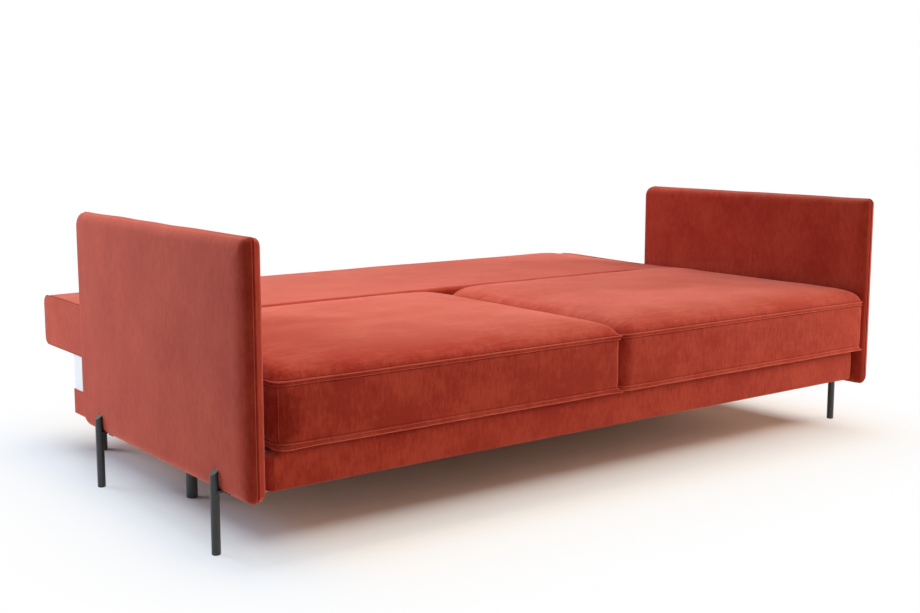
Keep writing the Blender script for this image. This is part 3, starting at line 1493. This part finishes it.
@dataclass
class FrontRail:
    """The upholstered rail under the front of the cushions."""

    wardrobe: Wardrobe
    half_length: float = 0.979
    front: float = -0.647
    depth: float = 0.045
    underside: float = 0.152
    height: float = 0.0865
    corner: float = 0.018
    end_round: float = 0.010
    counts: Counts = Counts(corner=8, long=170, short=6)
    left_slope: float = 0.013
    board_gap: float = 0.0003
    shape: tuple[tuple[float, float], ...] = (
        (20, 0.4), (12, 0.2), (7, 0), (3.8, 0.3), (1.6, 1.4), (0.5, 3.2), (0.1, 6), (-0.3, 14), (-0.8, 30), (-1.0, 46),
        (-0.8, 62), (-0.2, 74), (0.2, 80), (1.2, 83.4), (3.2, 85.6), (6.5, 86.4), (12, 86.5), (20, 86.5))

    def build(self) -> bpy.types.Object:
        """Makes and dresses the rail.

        Returns:
            The rail.
        """
        rings = []
        for inset, height in self.shape:
            inset *= MM
            corners = Corners.even(self.corner).grown(-max(inset, 0.0), self.corner, 0.0024)
            outline = rounded_outline(self.half_length - inset, self.depth / 2 - inset, corners, self.counts)
            rings.append(level(outline, self.underside + height * MM))
        rings = np.array(rings)
        points = rings.reshape(-1, 3)
        front_face = smooth(-points[:, 1], self.depth / 2 - 0.006, self.depth / 2 - 0.001)
        points[:, 1] -= front_face * 0.0009 * ripple(points, (6.0, 1.0, 12.0), 41.0)
        points[:, 2] += 0.0006 * ripple(points * np.array([1.0, 0.0, 0.0]), (9.0, 1.0, 1.0), 43.0)
        slope = self.left_slope * (1 - smooth(points[:, 0], -self.half_length, 0.042 - self.half_length))
        points[:, 2] -= slope * np.clip((points[:, 2] - self.underside) / self.height, 0.0, 1.0) ** 2
        under_top = np.clip(self.underside + self.height - points[:, 2], 0.0, self.end_round)
        rounded = self.end_round - np.sqrt(np.maximum(self.end_round ** 2 - (self.end_round - under_top) ** 2, 0.0))
        near_end = smooth(np.abs(points[:, 0]), self.half_length - 0.05, self.half_length - 0.02)
        points[:, 0] -= np.sign(points[:, 0]) * rounded * near_end
        rail = ring_mesh("front_rail_velvet", points.reshape(rings.shape))
        rail.data.transform(Matrix.Translation((0.0, self.front + self.depth / 2, 0.0)))
        x = -(self.half_length - self.corner + 0.004)
        heights = np.linspace(self.underside + 0.003, self.underside + self.height - 0.004, 12)
        seam = tube("seam", np.array([(x, self.front - 0.0003, z) for z in heights]), 0.001, 6)
        rail = joined("front_rail_velvet", [rail, seam])
        soften_flats(rail, 80.0)
        low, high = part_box("front_rail_board")
        gap = self.board_gap
        cut(rail, [block((low[0] - gap, low[1] - gap, low[2] - gap), (high[0] + gap, high[1] + 0.02, high[2] + gap))])
        self.wardrobe.fit(rail, RAIL_VELVET, Body.BASE, "velvet")
        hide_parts("front_rail_pad")
        return rail


@dataclass
class BoxBands:
    """Fabric bands stapled round the foot of the bedding box."""

    wardrobe: Wardrobe
    step: float = 0.012
    shallow_until: float = -0.490
    shallow_height: float = 0.0306
    section: tuple[tuple[float, float], ...] = (
        (0.02, 0.0), (0.5, -0.02), (0.98, 0.0), (1.0, 0.5), (0.98, 1.0), (0.9, 1.02), (0.5, 1.0), (0.1, 1.02),
        (0.02, 1.0), (0.0, 0.5))

    def band(self, node: str, across: int) -> bpy.types.Object:
        """Makes one band over its plain solid.

        Args:
            node: Name of the solid.
            across: Axis along the band's thickness.

        Returns:
            The band.
        """
        low, high = (np.array(corner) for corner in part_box(node))
        along = 1 - across
        size, middle = high - low, (low + high) / 2
        sign = -1.0 if node == "box_band_left" else 1.0
        columns = max(int(size[along] / self.step), 2)
        rings = np.empty((columns + 1, len(self.section), 3))
        rings[:, :, along] = (low[along] + np.linspace(0.0, 1.0, columns + 1) * size[along])[:, None]
        rise, out = np.array(self.section).T
        rings[:, :, across] = low[across] + (out if sign > 0 else 1.0 - out) * size[across]
        rings[:, :, 2] = low[2] + rise * size[2]
        points = rings.reshape(-1, 3)
        free = smooth(np.abs(points[:, across] - middle[across]), 0.0006, 0.0012)
        outer = free * (np.sign(points[:, across] - middle[across]) == sign)
        points[:, across] += sign * outer * (0.0004 + 0.0005 * ripple(points, (16.0, 16.0, 20.0), 51.0))
        band = ring_mesh(f"{node}_velvet", rings)
        fix = bmesh.new()
        fix.from_mesh(band.data)
        bmesh.ops.recalc_face_normals(fix, faces=fix.faces)
        fix.to_mesh(band.data)
        fix.free()
        soften_flats(band, 60.0)
        return band

    def notch(self, band: bpy.types.Object, node: str) -> None:
        """Cuts the band's front part back to where the box is shallow."""
        low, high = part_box(node)
        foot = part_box("box_side_left" if node.endswith("left") else "box_side_right")[0][2]
        corner = (high[0] + 0.01, self.shallow_until, foot + self.shallow_height)
        cut(band, [block((low[0] - 0.01, low[1] - 0.01, low[2] - 0.01), corner)])

    def build(self) -> None:
        """Makes and dresses the three bands."""
        for node, across in (("box_band_left", 0), ("box_band_right", 0), ("box_band_rear", 1)):
            band = self.band(node, across)
            if across == 0:
                self.notch(band, node)
            self.wardrobe.fit(band, RAIL_VELVET, Body.BASE, "velvet")
            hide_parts(node)
            log.info("made %s", band.name)


@dataclass
class Fixings:
    """Screws and bolts too small for the solids."""

    wardrobe: Wardrobe
    profile: tuple[tuple[float, float], ...] = (
        (1.0, -0.12), (1.0, 0.25), (0.93, 0.55), (0.78, 0.8), (0.55, 0.95), (0.3, 1.0), (0.12, 0.98))
    plate_x: float = 0.9407
    plate_places: tuple[tuple[float, float], ...] = ((0.024, 0.1945), (0.088, 0.198), (0.150, 0.198), (0.150, 0.219))
    link_x: float = 0.9097
    link_places: tuple[tuple[float, float], ...] = ((-0.06, 0.2199), (-0.02, 0.2199))
    bracket_x: float = 0.9701
    bracket_heights: tuple[float, float] = (0.157, 0.180)
    flange: tuple[float, float] = (1.012, 0.1297)
    bracket_half: float = 0.011

    def head(self, at: Point, towards: Point, radius: float, height: float) -> bpy.types.Object:
        """Makes a domed screw head with a cross recess.

        Args:
            at: Middle of the head's seat.
            towards: Direction that the head faces.
            radius: Head radius.
            height: Head height.

        Returns:
            The head.
        """
        angles = np.linspace(0.0, 2 * math.pi, 20, endpoint=False)
        rings = []
        for spread, rise in self.profile:
            dip = np.where(np.abs(np.sin(2 * angles)) < 0.35, 0.45, 0.0) * (1.0 if spread < 0.6 else 0.0)
            circle = np.column_stack([spread * radius * np.cos(angles), spread * radius * np.sin(angles)])
            rings.append(level(circle, (rise - dip) * height))
        head = ring_mesh("head", np.array(rings))
        turn = Vector((0.0, 0.0, 1.0)).rotation_difference(Vector(towards)).to_matrix().to_4x4()
        head.data.transform(Matrix.Translation(at) @ turn)
        return head

    def bracket_screws(self, side: Side) -> list[bpy.types.Object]:
        """Makes the screws that hold the leg bars to an arm.

        Args:
            side: The arm's side.

        Returns:
            Their heads.
        """
        heads, sign = [], side.value
        for word in ("front", "rear"):
            low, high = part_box(f"arm_leg_{word}_{side.word}")
            middle = (low[1] + high[1]) / 2
            for dy in (-self.bracket_half, self.bracket_half):
                for z in self.bracket_heights:
                    heads.append(self.head((sign * self.bracket_x, middle + dy, z), (sign, 0, 0), 0.0042, 0.0026))
                x, z = self.flange
                heads.append(self.head((sign * x, middle + dy * 0.7, z), (0, 0, -1), 0.004, 0.0026))
        return heads

    def build(self) -> None:
        """Makes the heads on the leg bars' brackets, on the mechanism's plates and on the seat links."""
        for side in Side:
            inward = (-side.value, 0, 0)
            plate = [self.head((side.value * self.plate_x, y, z), inward, 0.0052, 0.0026) for y, z in self.plate_places]
            link = [self.head((side.value * self.link_x, y, z), inward, 0.006, 0.004) for y, z in self.link_places]
            for name, heads, finish, body, slot in (
                    ("plate_screws", plate, ZINC_PLATE, Body.BASE, "zinc_steel"),
                    ("bracket_screws", self.bracket_screws(side), BLACK_PAINT, Body.BASE, "black_steel"),
                    ("seat_link_bolts", link, ZINC_PLATE, Body.SEAT, "zinc_steel")):
                screws = joined(f"{name}_{side.word}", heads)
                soften_flats(screws, 50.0)
                self.wardrobe.fit(screws, finish, body, slot)


@dataclass
class CarriedFrame:
    """The hard solids of the frame, which keep their shape and get their finishes."""

    wardrobe: Wardrobe

    def build(self) -> None:
        """Gives each hard solid the finish of its slot."""
        finishes = {
            "plywood": BIRCH_PLYWOOD,
            "white_laminate": WHITE_LAMINATE,
            "black_steel": BLACK_PAINT,
            "zinc_steel": ZINC_PLATE,
            "spring_steel": SPRING_WIRE,
        }
        for part in FRAME["record"]["subparts"]:
            finish = finishes.get(part["material_slot"])
            if finish:
                self.wardrobe.dress(FRAME["nodes"][part["node"]], finish)


# Studio


@dataclass(frozen=True)
class Lamp:
    """A large soft lamp: its place, the point it faces, its sides, its power in watts, its colour and its spread."""

    name: str
    at: Point
    target: Point
    size: tuple[float, float]
    power: float
    colour: Colour
    spread_degrees: float = 180.0

    def build(self) -> None:
        """Makes the lamp."""
        data = bpy.data.lights.new(self.name, "AREA")
        data.shape = "RECTANGLE"
        data.size, data.size_y = self.size
        data.energy = self.power
        data.color = self.colour
        data.spread = math.radians(self.spread_degrees)
        lamp = bpy.data.objects.new(self.name, data)
        lamp.location = self.at
        lamp.rotation_euler = (Vector(self.target) - Vector(self.at)).to_track_quat("-Z", "Y").to_euler()
        lamp.visible_camera = False
        bpy.context.scene.collection.objects.link(lamp)


@dataclass
class Studio:
    """The floor, the light and the camera at the photograph's viewing angle."""

    eye: Point = (-2.213, -2.938, 0.920)
    yaw_degrees: float = 37.05
    pitch_degrees: float = 8.35
    focal_pixels: float = 1284.0
    frame_pixels: float = 920.0
    sensor: float = 36.0
    world_strength: float = 0.05
    world_colour: Colour = (0.72, 0.86, 1.0)
    warm: Colour = (1.0, 0.86, 0.73)
    plain: Colour = (1.0, 0.985, 0.965)
    soft: Colour = (1.0, 0.97, 0.95)
    cool: Colour = (0.82, 0.91, 1.0)
    white: Colour = (1.0, 1.0, 1.0)
    floor_half: float = 14.0
    floor_cool: Colour = (0.71, 0.79, 0.98)
    floor_near: Colour = (0.76, 0.50, 0.41)
    floor_warm: Colour = (0.96, 0.92, 0.88)
    floor_bounce: Colour = (0.72, 0.68, 0.64)
    white_cool: Colour = (0.93, 0.965, 1.0)
    white_warm: Colour = (1.0, 0.945, 0.885)
    cool_until: tuple[float, float] = (-1.05, -0.78)
    footprint: tuple[float, float] = (0.90, 0.47)
    fade: tuple[float, float] = (0.14, 0.19)

    def camera(self) -> None:
        """Makes the camera."""
        data = bpy.data.cameras.new("camera")
        data.sensor_width = self.sensor
        data.lens = self.focal_pixels / self.frame_pixels * self.sensor
        data.clip_end = 100.0
        camera = bpy.data.objects.new("camera", data)
        camera.location = self.eye
        camera.rotation_euler = Euler((math.radians(90.0 - self.pitch_degrees), 0.0, -math.radians(self.yaw_degrees)))
        bpy.context.scene.collection.objects.link(camera)
        bpy.context.scene.camera = camera

    def world(self) -> None:
        """Makes a plain pale surround that the camera sees as white."""
        world = bpy.data.worlds.new("studio")
        bpy.context.scene.world = world
        world.use_nodes = True
        tree = world.node_tree
        tree.nodes.clear()
        path = tree.nodes.new("ShaderNodeLightPath")
        seen = self.seen(tree, path)
        light, white, mix = (tree.nodes.new(kind) for kind in (
            "ShaderNodeBackground", "ShaderNodeBackground", "ShaderNodeMixShader"))
        light.inputs["Color"].default_value = (*self.world_colour, 1.0)
        light.inputs["Strength"].default_value = self.world_strength
        white.inputs["Color"].default_value = (*self.white, 1.0)
        white.inputs["Strength"].default_value = 1.0
        output = tree.nodes.new("ShaderNodeOutputWorld")
        tree.links.new(seen, mix.inputs[0])
        tree.links.new(light.outputs[0], mix.inputs[1])
        tree.links.new(white.outputs[0], mix.inputs[2])
        tree.links.new(mix.outputs[0], output.inputs[0])

    @staticmethod
    def seen(tree: bpy.types.NodeTree, path: bpy.types.Node) -> bpy.types.NodeSocket:
        """Share of rays that see the backdrop: from the camera, and by gloss or glass.

        Args:
            tree: The node tree.
            path: Its Light Path node.

        Returns:
            1 for those rays and 0 for others.
        """
        value = path.outputs["Is Camera Ray"]
        for other in ("Is Glossy Ray", "Is Transmission Ray"):
            node = tree.nodes.new("ShaderNodeMath")
            node.operation = "MAXIMUM"
            tree.links.new(value, node.inputs[0])
            tree.links.new(path.outputs[other], node.inputs[1])
            value = node.outputs[0]
        return value

    def floor(self) -> None:
        """Makes the floor, which fades to white away from the sofa and keeps its shadow."""
        size = self.floor_half
        corners = [(-size, -size, 0), (size, -size, 0), (size, size, 0), (-size, size, 0)]
        floor = mesh_object("floor", corners, [(0, 1, 2, 3)])
        nodes = Nodes("floor")
        nodes.tree.nodes.remove(nodes.shader)
        seen = self.seen(nodes.tree, nodes.add("ShaderNodeLightPath"))
        squares = []
        for axis, half, scale in zip("XY", self.footprint, self.fade):
            beyond = nodes.maths("SUBTRACT", nodes.maths("ABSOLUTE", nodes.axis("Object", axis)), half)
            share = nodes.maths("DIVIDE", nodes.maths("MAXIMUM", beyond, 0.0), scale)
            squares.append(nodes.maths("MULTIPLY", share, share))
        distance = nodes.maths("POWER", nodes.maths("ADD", *squares), 0.6)
        fade = nodes.maths("SUBTRACT", 1.0, nodes.maths("EXPONENT", nodes.maths("MULTIPLY", distance, -1.0)))
        warmth = nodes.ranged(nodes.axis("Object", "X"), *self.cool_until)
        tint = nodes.mixed(warmth, self.floor_cool, nodes.mixed(fade, self.floor_near, self.floor_warm))
        tone = nodes.mixed(seen, self.floor_bounce, tint)
        far = nodes.ranged(fade, 0.75, 0.985)
        glow = nodes.mixed(far, nodes.mixed(warmth, self.white_cool, self.white_warm), self.white)
        diffuse = nodes.add("ShaderNodeBsdfDiffuse")
        white = nodes.add("ShaderNodeEmission")
        nodes.link(glow, white.inputs["Color"])
        white.inputs["Strength"].default_value = 1.0
        mix = nodes.add("ShaderNodeMixShader")
        nodes.link(tone, diffuse.inputs["Color"])
        nodes.link(nodes.maths("MULTIPLY", fade, seen), mix.inputs[0])
        nodes.link(diffuse.outputs[0], mix.inputs[1])
        nodes.link(white.outputs[0], mix.inputs[2])
        nodes.link(mix.outputs[0], nodes.output.inputs["Surface"])
        floor.data.materials.append(nodes.material)

    def build(self) -> None:
        """Makes the whole studio."""
        bpy.context.scene.view_settings.view_transform = "Standard"
        self.camera()
        self.world()
        self.floor()
        for lamp in (
                Lamp("upper_right", (2.1, 0.3, 4.6), (0.1, 0.0, 0.3), (2.2, 2.2), 64.0, self.plain),
                Lamp("upper_left", (-0.65, -0.3, 3.6), (-0.65, -0.3, 0.0), (1.2, 1.0), 4.2, self.plain, 44.0),
                Lamp("upper_middle", (0.5, 0.45, 3.6), (0.5, 0.45, 0.0), (1.2, 1.0), 4.0, self.plain, 44.0),
                Lamp("right_high", (2.4, -3.2, 2.9), (0.3, -0.4, 0.2), (2.4, 2.4), 66.0, self.warm),
                Lamp("right_low", (3.4, -1.8, 0.9), (0.8, -0.5, 0.3), (1.6, 1.2), 58.0, self.warm),
                Lamp("left_front", (-2.2, -3.7, 1.7), (0.1, -0.3, 0.3), (1.4, 1.4), 12.0, self.soft),
                Lamp("left_near", (-2.9, 1.2, 1.0), (-0.9, 0.0, 0.4), (1.5, 1.5), 16.0, self.cool),
                Lamp("left_rear", (-2.6, 2.6, 1.2), (-1.0, 0.2, 0.4), (1.6, 1.6), 68.0, self.cool)):
            lamp.build()


def main() -> None:
    """Builds the studio and the sofa bed in order."""
    logging.basicConfig(level=logging.INFO, format="%(message)s")
    Studio().build()
    wardrobe = Wardrobe()
    CarriedFrame(wardrobe).build()
    for side in Side:
        log.info("made %s", SeatCushion(side, wardrobe).build().name)
        log.info("made %s", Arm(side, wardrobe).build().name)
    log.info("made %s", LyingBack(wardrobe).build().name)
    log.info("made %s", FrontRail(wardrobe).build().name)
    BoxBands(wardrobe).build()
    Fixings(wardrobe).build()


if __name__ == "__main__":
    main()
